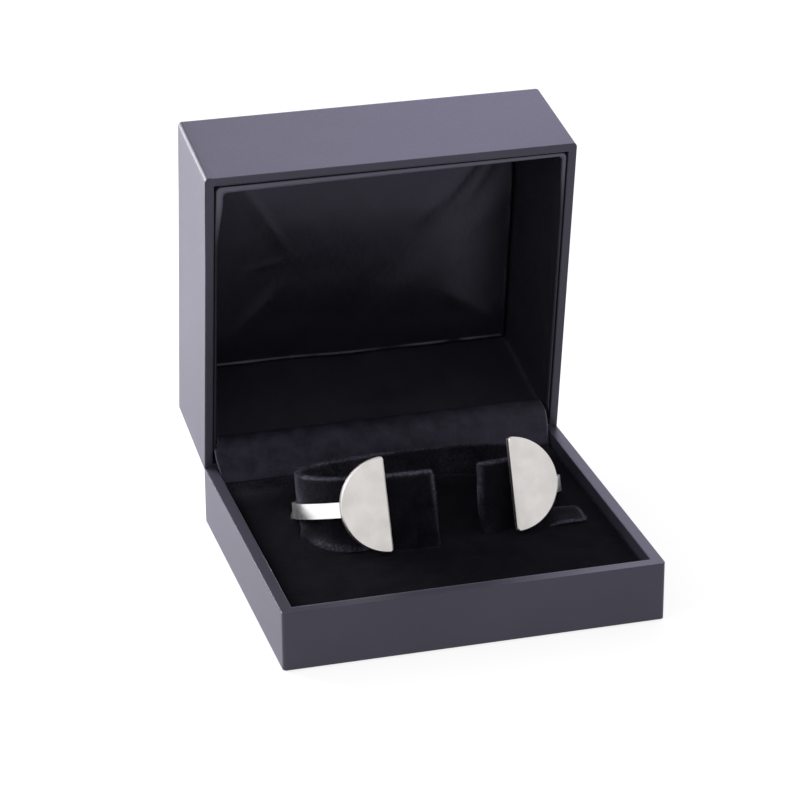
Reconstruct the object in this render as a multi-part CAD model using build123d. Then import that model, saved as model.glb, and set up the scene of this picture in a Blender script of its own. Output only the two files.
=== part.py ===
"""Hinged bangle display box, open, with a cuff bangle on its collar.

Millimetres. X runs along the box's width, Y from front to back, +Z up.
The origin is the middle of the base's underside.
The lid's pieces are drawn on the closed box, then turned back about the hinge line.
"""
from build123d import *
import math
import os

# ---- driving dimensions -------------------------------------------------
# box
BOX_WIDTH = 90.0
BOX_DEPTH = 80.5
BASE_HEIGHT = 14.6
LID_HEIGHT = 30.3
PARTING_GAP = 0.1
EDGE_RADIUS = 0.9
OPEN_ANGLE = 81.5

# walls: leatherette over a moulded shell, turned in over the rim
WRAP = 0.4
BASE_WALL = 2.0
LID_WALL = 1.2
BASE_FLOOR = 1.6
LID_TOP = 1.2
TURN_IN = 5.0
TURN_UNDER = 8.0
FOOT_SHEET = 0.4
FOOT_INSET = 1.0

# hinge, hidden behind the cover at the back
HINGE_INSET = 1.2
HINGE_WIDTH = 56.0
BARREL_RADIUS = 1.05
PIN_RADIUS = 0.5
PIN_CLEARANCE = 0.04
KNUCKLES = 5
KNUCKLE_GAP = 0.15
LEAF_THICKNESS = 0.5
LEAF_HEIGHT = 8.5
RELIEF = 0.2
SPRING_WIRE = 0.2
SPRING_LENGTH = 3.0
SPRING_LEG = 5.0
COVER_THICKNESS = 0.6
COVER_SIDE_GAP = 1.2
COVER_FRONT = 5.65
COVER_BACK = 4.95
COVER_RISE = 5.25
COVER_DROP = 1.95

# lid interior: formed liner with sloping sides, satin over it, padded panel
LINER = 0.8
SATIN = 0.4
LINER_RIM_DROP = 0.3
LINER_SLOPE = 3.6
LINER_BACK_FOOT = 3.0
LINER_BACK_SLOPE = 8.5
PANEL_BOARD = 1.2
PANEL_FOAM = 1.2
PANEL_BULGE = 2.4
PANEL_MARGIN = 0.3
CORNER_RADIUS = 2.5

# pad in the base
PAD_RECESS = 2.3
PAD_BOARD = 1.5
VELVET = 0.6
PAD_GAP = 0.3

# collar: velvet strip bent into an open oval, leaning back, pushed into a slit
COLLAR_X = 0.5
COLLAR_Y = 11.8
COLLAR_RISE = 10.9
COLLAR_LEAN = 22.5
COLLAR_YAW = 4.0
RIM_TILT = 5.5
COLLAR_HALF_WIDTH = 29.6
COLLAR_HALF_DEPTH = 18.3
COLLAR_END_RADIUS = 16.0
COLLAR_CORE = 0.6
COLLAR_VELVET = 0.5
COLLAR_SINK = 5.0
SLIT_GAP = 0.15
GAP_LEFT = -1.9
GAP_RIGHT = 9.3
GAP_RIGHT_WAIST = 8.5
GAP_RIGHT_FOOT = 11.6
STRAP_LEFT = -30.9
STRAP_RIGHT = 36.8
STRAP_FRONT = -10.2
STRAP_WIDTH = 8.0
STRAP_END = 14.0
STRAP_THICKNESS = 1.0
STRAP_GAP = 0.2

# cuff bangle
CUFF_SHIFT = 2.0
CUFF_DROP = 9.0
CUFF_ROLL = -0.8
CUFF_GAP = 0.4
DENT_GAP = 0.3
CUFF_SIDE_GAP = 2.4
BAND_THICKNESS = 0.9
BAND_HEIGHT = 3.6
DISC_RADIUS = 11.2
DISC_THICKNESS = 1.9
DISC_CORNER = 0.8
DISC_BEVEL = 0.3
# left and right disc: straight edge from the cuff's middle, height above the band's middle,
# turn in its own plane, swing of its round side to the back
DISC_EDGES = (-16.0, 14.6)
DISC_RISES = (0.5, 1.7)
DISC_TURNS = (1.3, 0.7)
DISC_SWINGS = (7.3, 0.6)
BAND_LAP = 1.0
LAND_WIDTH = 5.0
LAND_RISE = 0.1

# ---- derived ------------------------------------------------------------
BASE_RIM = WRAP + BASE_WALL + WRAP
LID_RIM = WRAP + LID_WALL + WRAP
HINGE_Y = BOX_DEPTH / 2 - HINGE_INSET
HINGE_Z = BASE_HEIGHT + PARTING_GAP / 2
LID_BOTTOM = BASE_HEIGHT + PARTING_GAP
BOX_TOP = LID_BOTTOM + LID_HEIGHT
COVER_DEPTH = FOOT_SHEET + WRAP
PAD_TOP = BASE_HEIGHT - PAD_RECESS
SHELL_FLOOR = COVER_DEPTH + BASE_FLOOR
BEVEL_ANGLE = (180 - OPEN_ANGLE) / 2
COLLAR_THICKNESS = COLLAR_CORE + 2 * COLLAR_VELVET
LID_CEILING = BOX_TOP - WRAP - LID_TOP
PANEL_EDGE = LID_CEILING - LINER - PANEL_BOARD - PANEL_FOAM

HINGE_LINE = Axis((0, HINGE_Y, HINGE_Z), (1, 0, 0))


def block(x0, x1, y0, y1, z0, z1):
    """Box between two opposite corners."""
    return Pos((x0 + x1) / 2, (y0 + y1) / 2, (z0 + z1) / 2) * Box(x1 - x0, y1 - y0, z1 - z0)


def slab(inset, z0, z1, radius=0.0):
    """Box of the outer plan, inset on all four sides, with rounded uprights."""
    body = block(-BOX_WIDTH / 2 + inset, BOX_WIDTH / 2 - inset,
                 -BOX_DEPTH / 2 + inset, BOX_DEPTH / 2 - inset, z0, z1)
    if radius > 0.05:
        body = fillet(body.edges().filter_by(Axis.Z), radius)
    return body


def opened(shape):
    """Turns a piece of the closed lid back to the open stop."""
    return shape.rotate(HINGE_LINE, -OPEN_ANGLE)


def hinge_rod(radius, x0, x1):
    """Cylinder along the hinge line."""
    rod = Cylinder(radius, x1 - x0, rotation=(0, 90, 0))
    return Pos((x0 + x1) / 2, HINGE_Y, HINGE_Z) * rod


def hinge_relief():
    """Room cut in both rear walls for the knuckles."""
    half = HINGE_WIDTH / 2 + SPRING_LENGTH + RELIEF
    return hinge_rod(BARREL_RADIUS + RELIEF, -half, half)


def leaf_room(up):
    """Pocket in a rear wall that takes a hinge leaf."""
    half = HINGE_WIDTH / 2 + SPRING_LENGTH + RELIEF
    near = HINGE_Y - BARREL_RADIUS - RELIEF
    far = HINGE_Y - BARREL_RADIUS + LEAF_THICKNESS
    reach = BARREL_RADIUS + LEAF_HEIGHT + RELIEF
    if up:
        return block(-half, half, near, far, HINGE_Z, HINGE_Z + reach)
    return block(-half, half, near, far, HINGE_Z - reach, HINGE_Z)


def rear_bevel(up):
    """Wedge outside the hinge line, so that the open lid's rim lands on the base's."""
    side = 3 * HINGE_INSET
    half = BOX_WIDTH / 2 + 1
    turn = 90 - BEVEL_ANGLE
    drop = side * math.tan(math.radians(turn))
    sign = 1 if up else -1
    points = [(0, 0), (side, sign * drop), (side, -sign * side), (0, -sign * side)]
    face = make_face(Polyline(*points, close=True))
    wedge = extrude(face, half, both=True)
    return Plane((0, HINGE_Y, HINGE_Z), x_dir=(0, 1, 0), z_dir=(1, 0, 0)).location * wedge


# ---- base ---------------------------------------------------------------
def base_shell():
    """Moulded tray: walls inside the leatherette, floor raised over the turned edge."""
    shell = slab(WRAP, COVER_DEPTH, BASE_HEIGHT - WRAP, EDGE_RADIUS - WRAP)
    shell += slab(FOOT_INSET + TURN_UNDER, FOOT_SHEET, COVER_DEPTH)
    shell -= slab(WRAP + BASE_WALL, SHELL_FLOOR, BASE_HEIGHT)
    return shell - rear_bevel(False) - hinge_relief() - leaf_room(False)


def base_wrap():
    """Leatherette: sides, rim, turn-in at the top and turn-under at the bottom."""
    skin = slab(0, FOOT_SHEET, BASE_HEIGHT, EDGE_RADIUS)
    skin -= slab(WRAP, COVER_DEPTH, BASE_HEIGHT - WRAP, EDGE_RADIUS - WRAP)
    skin -= slab(FOOT_INSET + TURN_UNDER, 0, COVER_DEPTH)
    skin -= slab(BASE_RIM, BASE_HEIGHT - TURN_IN, BASE_HEIGHT)
    lining = slab(WRAP + BASE_WALL, BASE_HEIGHT - TURN_IN, BASE_HEIGHT - WRAP)
    lining -= slab(BASE_RIM, BASE_HEIGHT - TURN_IN, BASE_HEIGHT)
    skin += lining
    return skin - rear_bevel(False) - hinge_relief() - leaf_room(False)


def base_foot_sheet():
    """Paper sheet glued over the turned edges, on which the box stands."""
    return slab(FOOT_INSET, 0, FOOT_SHEET, EDGE_RADIUS)


def collar_frame():
    """Frame at the middle of the collar's top edge, Z along the leaning collar."""
    lean = math.radians(COLLAR_LEAN)
    up = (0, math.sin(lean), math.cos(lean))
    frame = Plane((COLLAR_X, COLLAR_Y, PAD_TOP + COLLAR_RISE), x_dir=(1, 0, 0), z_dir=up)
    return frame.location * Rot(0, 0, COLLAR_YAW)


def long_side(half_width, half_depth, end_radius):
    """Radius of an oval's long sides, and how far their centre lies across the oval's middle."""
    end_x = half_width - end_radius
    rise = half_depth - end_radius
    side_radius = (end_x ** 2 + half_depth ** 2 - end_radius ** 2) / (2 * rise)
    return side_radius, side_radius - half_depth


def oval(half_width, half_depth, end_radius):
    """Oval of four tangent arcs: two ends of end_radius and two long sides."""
    end_x = half_width - end_radius
    side_radius, side_y = long_side(half_width, half_depth, end_radius)
    reach = math.hypot(end_x, side_y)
    tx = end_x + end_radius * end_x / reach
    ty = end_radius * side_y / reach
    arcs = [
        ThreePointArc((tx, -ty), (half_width, 0), (tx, ty)),
        ThreePointArc((tx, ty), (0, half_depth), (-tx, ty)),
        ThreePointArc((-tx, ty), (-half_width, 0), (-tx, -ty)),
        ThreePointArc((-tx, -ty), (0, -half_depth), (tx, -ty)),
    ]
    return make_face(arcs)


def collar_oval(inset):
    """Plan of the collar, inset from its outer velvet face."""
    return oval(COLLAR_HALF_WIDTH - inset, COLLAR_HALF_DEPTH - inset, COLLAR_END_RADIUS - inset)


def collar_trim(body, top, below):
    """Collar body cut by the tilted plane of its rim, offset by top, and by the pad's level less below."""
    reach = PAD_TOP + COLLAR_HALF_WIDTH + COLLAR_HALF_DEPTH
    body -= collar_frame() * (Rot(RIM_TILT, 0, 0) * block(-reach, reach, -2 * reach, 2 * reach, top, 2 * reach))
    floor = PAD_TOP - below
    return body - block(-BOX_WIDTH, BOX_WIDTH, -BOX_DEPTH, BOX_DEPTH, floor - 3 * reach, floor)


def collar_column(plan):
    """Plan drawn up and down along the leaning collar, far past both its ends."""
    reach = PAD_TOP + COLLAR_HALF_WIDTH + COLLAR_HALF_DEPTH
    return collar_frame() * extrude(plan, reach, both=True)


def collar_tube(outer, inner, top, below):
    """Oval tube between two insets, from the rim down into the pad by below, in the box frame."""
    return collar_trim(collar_column(collar_oval(outer) - collar_oval(inner)), top, below)


def collar_opening(grow):
    """Front gap between the two flaps; the right flap's edge is waisted and sweeps away at its foot."""
    reach = COLLAR_RISE + COLLAR_HALF_WIDTH
    lean = math.radians(COLLAR_LEAN)
    foot = -COLLAR_RISE / math.cos(lean) - COLLAR_HALF_DEPTH * math.tan(lean)
    left, right = GAP_LEFT - grow, GAP_RIGHT + grow
    waist, low = GAP_RIGHT_WAIST + grow, GAP_RIGHT_FOOT + grow
    edge = [
        Line((left, 1), (right, 1)),
        Line((right, 1), (waist, foot * 0.55)),
        ThreePointArc((waist, foot * 0.55), ((2 * waist + low) / 3, foot * 0.83), (low, foot)),
        Line((low, foot), (low, foot - reach)),
        Line((low, foot - reach), (left, foot - reach)),
        Line((left, foot - reach), (left, 1)),
    ]
    cutter = extrude(make_face(edge), 2 * COLLAR_HALF_DEPTH)
    return collar_frame() * (Rot(90, 0, 0) * cutter)


def strap_window():
    """Notch through the collar's foot, open at the front, for the strap that ties it to the pad."""
    return block(STRAP_LEFT - STRAP_GAP, STRAP_RIGHT + STRAP_GAP,
                 -COLLAR_HALF_DEPTH, STRAP_FRONT + STRAP_WIDTH + STRAP_GAP,
                 PAD_TOP, PAD_TOP + STRAP_THICKNESS + STRAP_GAP)


def slit(below):
    """Slit in the pad that the collar is pushed into."""
    tube = collar_tube(-SLIT_GAP, COLLAR_THICKNESS + SLIT_GAP, 0, below + SLIT_GAP)
    return tube - collar_opening(-SLIT_GAP)


def collar_core():
    """Springy plastic strip inside the velvet."""
    core = collar_tube(COLLAR_VELVET, COLLAR_VELVET + COLLAR_CORE, -COLLAR_VELVET, COLLAR_SINK)
    return core - collar_opening(COLLAR_VELVET) - strap_window()


def collar_velvet(core):
    """Velvet round the strip: both faces, the top edge and the two ends."""
    tube = collar_tube(0, COLLAR_THICKNESS, 0, COLLAR_SINK)
    return tube - collar_opening(0) - strap_window() - core


def collar_strap():
    """Velvet strap across the pad, through the collar's two notches; its left end widens round the collar."""
    strap = block(STRAP_LEFT, STRAP_RIGHT, STRAP_FRONT, STRAP_FRONT + STRAP_WIDTH,
                  PAD_TOP, PAD_TOP + STRAP_THICKNESS)
    end = block(STRAP_LEFT, 0, STRAP_FRONT + STRAP_WIDTH / 2, STRAP_FRONT + STRAP_END,
                PAD_TOP, PAD_TOP + STRAP_THICKNESS)
    strap += end - collar_column(collar_oval(-STRAP_GAP))
    corners = strap.edges().filter_by(Axis.Z).filter_by_position(Axis.X, STRAP_LEFT - 1, STRAP_LEFT + 0.1)
    corners += strap.edges().filter_by(Axis.Z).filter_by_position(Axis.X, STRAP_RIGHT - 0.1, STRAP_RIGHT + 1)
    return fillet(corners, STRAP_THICKNESS)


def pad_inset():
    return BASE_RIM + PAD_GAP


def pad_board():
    """Card under the pad, on the shell's floor."""
    return pad_trim(slab(pad_inset(), SHELL_FLOOR, SHELL_FLOOR + PAD_BOARD))


def pad_foam():
    """Foam block between the card and the velvet."""
    foam = slab(pad_inset() + VELVET, SHELL_FLOOR + PAD_BOARD, PAD_TOP - VELVET)
    return pad_trim(foam) - slit(COLLAR_SINK) - cuff_dent()


def pad_velvet():
    """Velvet over the foam, down its sides to the card."""
    skin = slab(pad_inset(), SHELL_FLOOR + PAD_BOARD, PAD_TOP, VELVET)
    skin = pad_trim(skin)
    skin -= pad_trim(slab(pad_inset() + VELVET, SHELL_FLOOR + PAD_BOARD, PAD_TOP - VELVET))
    return skin - slit(COLLAR_SINK) - cuff_dent()


def pad_trim(shape):
    """Cuts the pad's back edge clear of the hinge leaf and its cover."""
    back = HINGE_Y - BARREL_RADIUS - RELIEF - PAD_GAP
    return shape - block(-BOX_WIDTH, BOX_WIDTH, back, BOX_DEPTH, 0, BOX_TOP)


# ---- hinge --------------------------------------------------------------
def knuckle_spans(of_lid):
    """X spans of one leaf's knuckles; the base has the two outer ones."""
    pitch = HINGE_WIDTH / KNUCKLES
    start = -HINGE_WIDTH / 2
    first = 1 if of_lid else 0
    spans = []
    for i in range(first, KNUCKLES, 2):
        spans.append((start + i * pitch + KNUCKLE_GAP, start + (i + 1) * pitch - KNUCKLE_GAP))
    return spans


def hinge_leaf(of_lid):
    """Sheet-steel leaf on the inside of a rear wall, curled into knuckles."""
    sign = 1 if of_lid else -1
    near = HINGE_Y - BARREL_RADIUS
    far = near + LEAF_THICKNESS
    half = HINGE_WIDTH / 2
    z_near = HINGE_Z + sign * (BARREL_RADIUS + RELIEF)
    z_far = HINGE_Z + sign * (BARREL_RADIUS + LEAF_HEIGHT)
    leaf = block(-half, half, near, far, min(z_near, z_far), max(z_near, z_far))
    for x0, x1 in knuckle_spans(of_lid):
        leaf += hinge_rod(BARREL_RADIUS, x0, x1)
        leaf += block(x0, x1, near, far, min(HINGE_Z, z_near), max(HINGE_Z, z_near))
    return leaf - hinge_rod(PIN_RADIUS + PIN_CLEARANCE, -half - 1, half + 1)


def hinge_pin():
    """Steel pin through all the knuckles and both springs."""
    half = HINGE_WIDTH / 2 + SPRING_LENGTH
    return hinge_rod(PIN_RADIUS, -half, half)


def hinge_spring(side):
    """Torsion spring at one end of the pin: close coil and two legs."""
    x0 = HINGE_WIDTH / 2 + KNUCKLE_GAP
    x1 = x0 + SPRING_LENGTH - 2 * KNUCKLE_GAP
    inner = PIN_RADIUS + PIN_CLEARANCE
    outer = inner + 2 * SPRING_WIRE
    coil = hinge_rod(outer, x0, x1) - hinge_rod(inner, x0 - 1, x1 + 1)
    leg_y = HINGE_Y - BARREL_RADIUS + LEAF_THICKNESS / 2
    low = block(x0, x0 + 2 * SPRING_WIRE, leg_y - SPRING_WIRE, leg_y + SPRING_WIRE,
                HINGE_Z - SPRING_LEG, HINGE_Z)
    high = block(x1 - 2 * SPRING_WIRE, x1, leg_y - SPRING_WIRE, leg_y + SPRING_WIRE,
                 HINGE_Z, HINGE_Z + SPRING_LEG)
    spring = coil + low + opened(high) - hinge_rod(inner, x0 - 1, x1 + 1)
    return spring if side > 0 else mirror(spring, Plane.YZ)


def hinge_cover():
    """Flexible covered strip from the pad's back edge to the lid's lining."""
    half = BOX_WIDTH / 2 - BASE_RIM - COVER_SIDE_GAP
    low = (HINGE_Y - COVER_FRONT, HINGE_Z - COVER_DROP)
    high = (HINGE_Y + COVER_BACK, HINGE_Z + COVER_RISE)
    run = math.dist(low, high)
    slope = math.degrees(math.atan2(high[1] - low[1], high[0] - low[0]))
    strip = Box(2 * half, run, COVER_THICKNESS)
    return Pos(0, (low[0] + high[0]) / 2, (low[1] + high[1]) / 2) * Rot(slope, 0, 0) * strip


# ---- lid, drawn closed --------------------------------------------------
def lid_shell():
    """Moulded lid: four walls and a top inside the leatherette."""
    shell = slab(WRAP, LID_BOTTOM + WRAP, BOX_TOP - WRAP, EDGE_RADIUS - WRAP)
    shell -= slab(WRAP + LID_WALL, LID_BOTTOM, LID_CEILING)
    return shell - rear_bevel(True) - hinge_relief() - leaf_room(True)


def lid_wrap():
    """Leatherette over the lid's top and sides, turned in over the rim."""
    skin = slab(0, LID_BOTTOM, BOX_TOP, EDGE_RADIUS)
    skin = fillet(skin.faces().sort_by(Axis.Z)[-1].edges(), EDGE_RADIUS * 0.9)
    skin -= slab(WRAP, LID_BOTTOM + WRAP, BOX_TOP - WRAP, EDGE_RADIUS - WRAP)
    skin -= slab(LID_RIM, LID_BOTTOM, LID_BOTTOM + TURN_IN)
    lining = slab(WRAP + LID_WALL, LID_BOTTOM + WRAP, LID_BOTTOM + TURN_IN)
    lining -= slab(LID_RIM, LID_BOTTOM, LID_BOTTOM + TURN_IN)
    skin += lining
    return skin - rear_bevel(True) - hinge_relief() - leaf_room(True)


def liner_hollow(grow, top):
    """Hollow of the liner: a four-sided funnel from the rim up to top, grown outwards."""
    low = LID_BOTTOM + LINER_RIM_DROP
    full = PANEL_EDGE - low
    share = (top - low) / full
    half = BOX_WIDTH / 2 - LID_RIM - LINER - SATIN
    front = -BOX_DEPTH / 2 + LID_RIM + LINER + SATIN
    back = HINGE_Y - LINER_BACK_FOOT - LINER - SATIN
    mouth = funnel_plan(half + grow, front - grow, back + grow, low)
    throat = funnel_plan(half - LINER_SLOPE * share + grow, front + LINER_SLOPE * share - grow,
                         back - LINER_BACK_SLOPE * share + grow, top)
    return loft([mouth, throat])


def funnel_plan(half, front, back, z):
    """Rounded rectangle at height z."""
    plan = RectangleRounded(2 * half, back - front, CORNER_RADIUS)
    return Pos(0, (front + back) / 2, z) * plan


def lid_liner():
    """Formed liner: sloping walls and a flat back that carries the panel."""
    low = LID_BOTTOM + LINER_RIM_DROP
    outer = liner_hollow(SATIN + LINER, LID_CEILING)
    return outer - liner_hollow(SATIN, LID_CEILING - LINER) - leaf_room(True)


def lid_wall_satin():
    """Satin over the liner's sloping walls."""
    outer = liner_hollow(SATIN, PANEL_EDGE + PANEL_FOAM)
    return outer - liner_hollow(0, PANEL_EDGE + PANEL_FOAM + 1)


def panel_plan(inset):
    """Half width, front and back of the panel at the liner's back."""
    full = PANEL_EDGE - LID_BOTTOM - LINER_RIM_DROP
    share = (LID_CEILING - LINER - LID_BOTTOM - LINER_RIM_DROP) / full
    half = BOX_WIDTH / 2 - LID_RIM - LINER - SATIN - LINER_SLOPE * share - inset
    front = -BOX_DEPTH / 2 + LID_RIM + LINER + SATIN + LINER_SLOPE * share + inset
    back = HINGE_Y - LINER_BACK_FOOT - LINER - SATIN - LINER_BACK_SLOPE * share - inset
    return half, front, back


def lid_panel_board():
    """Card behind the padded panel."""
    half, front, back = panel_plan(PANEL_MARGIN + SATIN)
    top = LID_CEILING - LINER
    return block(-half, half, front, back, top - PANEL_BOARD, top)


def pillow(inset, low, bulge, top):
    """Block whose lower face is a shallow four-sided pyramid with a small flat."""
    half, front, back = panel_plan(inset)
    body = block(-half, half, front, back, low, top)
    cap = loft([
        Pos(0, (front + back) / 2, low) * Rectangle(2 * half, back - front),
        Pos(0, (front + back) / 2, low - bulge) * Rectangle(half, (back - front) / 2),
    ])
    return body + cap


def lid_panel_foam():
    """Foam that gives the panel its bulge."""
    return pillow(PANEL_MARGIN + SATIN, PANEL_EDGE, PANEL_BULGE, PANEL_EDGE + PANEL_FOAM)


def lid_panel_satin(foam, board):
    """Satin over the foam and round the card's edge."""
    cover = pillow(PANEL_MARGIN, PANEL_EDGE - SATIN, PANEL_BULGE, LID_CEILING - LINER)
    return cover - foam - board


# ---- cuff bangle --------------------------------------------------------
def cuff_frame():
    """Frame in the middle of the cuff's band, Z along its lean."""
    return collar_frame() * Pos(CUFF_SHIFT, 0, -CUFF_DROP) * Rot(0, -CUFF_ROLL, 0)


def cuff_sizes(grow):
    """Half width, half depth and end radius of the band's inner face, grown outwards."""
    return (COLLAR_HALF_WIDTH + CUFF_SIDE_GAP + grow, COLLAR_HALF_DEPTH + CUFF_GAP + grow,
            COLLAR_END_RADIUS + CUFF_GAP + grow)


def cuff_oval(grow):
    """Plan of the band's inner face, grown outwards."""
    return oval(*cuff_sizes(grow))


def disc_seat(side):
    """Frame at a disc's straight edge on the band's front: X towards its round side, Y up, Z outwards."""
    which = 0 if side < 0 else 1
    x = DISC_EDGES[which]
    radius, middle = long_side(*cuff_sizes(BAND_THICKNESS))
    y = middle - math.sqrt(radius ** 2 - x ** 2) - LAND_RISE
    return Pos(x, y, 0) * Rot(0, 0, side * DISC_SWINGS[which]) * Rot(90, 0, 0)


def bangle_band():
    """Flat band bent to an oval, open at the front, with a flat land under each disc."""
    band = extrude(cuff_oval(BAND_THICKNESS), BAND_HEIGHT / 2, both=True)
    reach = 3 * COLLAR_HALF_DEPTH
    ends = []
    for side in (-1, 1):
        seat = disc_seat(side)
        start, stop = sorted((side * BAND_LAP, side * (BAND_LAP + LAND_WIDTH)))
        band += seat * block(start, stop, -BAND_HEIGHT / 2, BAND_HEIGHT / 2, -COLLAR_HALF_DEPTH / 2, 0)
        inner, outer = sorted((side * BAND_LAP, -side * reach))
        ends.append(seat * block(inner, outer, -BAND_HEIGHT, BAND_HEIGHT, -COLLAR_HALF_DEPTH / 2, reach))
    band -= extrude(cuff_oval(0), BAND_HEIGHT, both=True)
    return cuff_frame() * (band - (ends[0] & ends[1]))


def cuff_dent():
    """Dent in the pad where the back of the leaning band presses in."""
    ring = cuff_oval(BAND_THICKNESS + DENT_GAP) - cuff_oval(-CUFF_GAP)
    low = -BAND_HEIGHT / 2 - DENT_GAP
    return cuff_frame() * (Pos(0, 0, low) * extrude(ring, COLLAR_RISE + CUFF_DROP))


def bangle_disc(side):
    """Half-disc plate with its straight edge towards the gap."""
    which = 0 if side < 0 else 1
    half = Circle(DISC_RADIUS) - Pos(-DISC_RADIUS, 0) * Rectangle(2 * DISC_RADIUS, 4 * DISC_RADIUS)
    half = fillet(half.vertices(), DISC_CORNER)
    plate = extrude(half, DISC_THICKNESS)
    plate = chamfer(plate.faces().sort_by(Axis.Z)[-1].edges(), DISC_BEVEL)
    if side < 0:
        plate = mirror(plate, Plane.YZ)
    stand = disc_seat(side) * Pos(0, DISC_RISES[which], 0) * Rot(0, 0, DISC_TURNS[which])
    return cuff_frame() * (stand * plate)


# ---- write --------------------------------------------------------------
def main():
    os.makedirs("parts", exist_ok=True)
    core = collar_core()
    foam = lid_panel_foam()
    board = lid_panel_board()
    parts = {
        "base_shell": base_shell(),
        "base_wrap": base_wrap(),
        "base_foot_sheet": base_foot_sheet(),
        "pad_board": pad_board(),
        "pad_foam": pad_foam(),
        "pad_velvet": pad_velvet(),
        "collar_core": core,
        "collar_velvet": collar_velvet(core),
        "collar_strap": collar_strap(),
        "base_hinge_leaf": hinge_leaf(False),
        "hinge_pin": hinge_pin(),
        "hinge_spring_left": hinge_spring(-1),
        "hinge_spring_right": hinge_spring(1),
        "hinge_cover": hinge_cover(),
        "lid_shell": opened(lid_shell()),
        "lid_wrap": opened(lid_wrap()),
        "lid_liner": opened(lid_liner()),
        "lid_wall_satin": opened(lid_wall_satin()),
        "lid_panel_board": opened(board),
        "lid_panel_foam": opened(foam),
        "lid_panel_satin": opened(lid_panel_satin(foam, board)),
        "lid_hinge_leaf": opened(hinge_leaf(True)),
        "bangle_band": bangle_band(),
        "bangle_left_disc": bangle_disc(-1),
        "bangle_right_disc": bangle_disc(1),
    }
    for name, shape in parts.items():
        export_step(shape, f"parts/{name}.step")


if __name__ == "__main__":
    main()
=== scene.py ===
"""Dressed bangle box: leatherette case, satin lid lining, velvet pad and collar, silver cuff bangle."""
import math

import bpy
import numpy as np
from mathutils import Matrix


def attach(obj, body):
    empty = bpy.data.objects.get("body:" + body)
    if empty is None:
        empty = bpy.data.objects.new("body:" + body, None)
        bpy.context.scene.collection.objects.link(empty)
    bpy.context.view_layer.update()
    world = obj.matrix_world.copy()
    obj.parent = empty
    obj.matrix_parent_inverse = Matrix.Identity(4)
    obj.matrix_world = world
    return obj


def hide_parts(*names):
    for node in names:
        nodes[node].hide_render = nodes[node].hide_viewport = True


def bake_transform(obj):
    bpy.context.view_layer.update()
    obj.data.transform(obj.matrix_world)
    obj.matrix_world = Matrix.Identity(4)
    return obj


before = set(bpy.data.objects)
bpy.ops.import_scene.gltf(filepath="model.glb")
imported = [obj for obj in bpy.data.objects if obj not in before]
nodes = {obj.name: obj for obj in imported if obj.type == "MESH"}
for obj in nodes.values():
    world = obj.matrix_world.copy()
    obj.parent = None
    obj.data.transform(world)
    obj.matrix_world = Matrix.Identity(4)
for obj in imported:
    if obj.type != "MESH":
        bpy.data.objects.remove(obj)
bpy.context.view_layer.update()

# ---- sizes in millimetres, as the part's source has them ----
MM = 0.001
BOX_WIDTH, BOX_DEPTH = 90.0, 80.5
EDGE_RADIUS = 0.9
OPEN_ANGLE = 81.5
HINGE_Y, HINGE_Z = 39.05, 14.65
LID_BOTTOM, BOX_TOP = 14.7, 45.0

# satin lining of the lid: a four-sided funnel from mouth to throat
MOUTH_HALF, MOUTH_FRONT, MOUTH_BACK = 41.8, -37.05, 34.85
MOUTH_Z, THROAT_Z = 15.0, 40.2
SIDE_SLOPE, BACK_SLOPE = 3.6, 8.5
CORNER_RADIUS = 1.25

# padded panel at the funnel's throat
PANEL_HALF, PANEL_FRONT, PANEL_BACK = 38.5, -33.65, 26.8
PANEL_FOOT_Z = 42.5

# velvet pad
PAD_TOP = 12.3
PAD_HALF, PAD_FRONT, PAD_BACK = 41.9, -37.15, 37.15
PAD_SKIRT_Z = 7.5

# collar and cuff: ovals of four tangent arcs in a frame that leans back
COLLAR_ORIGIN = (0.5, 11.8, 23.2)
COLLAR_LEAN, COLLAR_YAW, RIM_TILT = 22.5, 4.0, 5.5
COLLAR_HALF_WIDTH, COLLAR_HALF_DEPTH, COLLAR_END_RADIUS = 29.6, 18.3, 16.0
COLLAR_THICKNESS, FOOT_SWELL = 1.6, 2.3
FLAP_LEFT, FLAP_RIGHT, FLAP_RIGHT_WAIST, FLAP_RIGHT_FOOT = -1.9, 9.3, 8.5, 11.6
STRAP_LEFT, STRAP_RIGHT, STRAP_FRONT, STRAP_WIDTH, STRAP_THICKNESS = -30.9, 36.8, -10.2, 8.0, 1.0
STRAP_END = 14.0
CUFF_SHIFT, CUFF_DROP, CUFF_ROLL, CUFF_GAP, CUFF_SIDE_GAP = 2.0, 9.0, -0.8, 0.4, 2.4
BAND_THICKNESS, BAND_HEIGHT = 0.9, 3.6


# ---- shader and mesh helpers ----
def linear(hexa, alpha=1.0):
    """An sRGB hex colour as the linear numbers a shader takes."""
    channels = np.array([int(hexa[i:i + 2], 16) for i in (1, 3, 5)]) / 255
    low, high = channels / 12.92, ((channels + 0.055) / 1.055) ** 2.4
    return (*np.where(channels <= 0.04045, low, high).tolist(), alpha)


def add(tree, kind, inputs=None, stops=(), **settings):
    """Adds a shader node; inputs hold a socket's value, or the socket that feeds it; stops are a ramp's places
    and hex colours."""
    made = tree.nodes.new(kind)
    for name, value in settings.items():
        setattr(made, name, value)
    for name, value in (inputs or {}).items():
        if isinstance(value, bpy.types.NodeSocket):
            tree.links.new(value, made.inputs[name])
        else:
            made.inputs[name].default_value = value
    for i, (position, colour) in enumerate(stops):
        made.color_ramp.elements[i].position = position
        made.color_ramp.elements[i].color = linear(colour)
    return made


def new_material(name):
    """A node material with nothing in it, and its tree."""
    material = bpy.data.materials.new(name)
    material.use_nodes = True
    material.node_tree.nodes.clear()
    return material, material.node_tree


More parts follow.
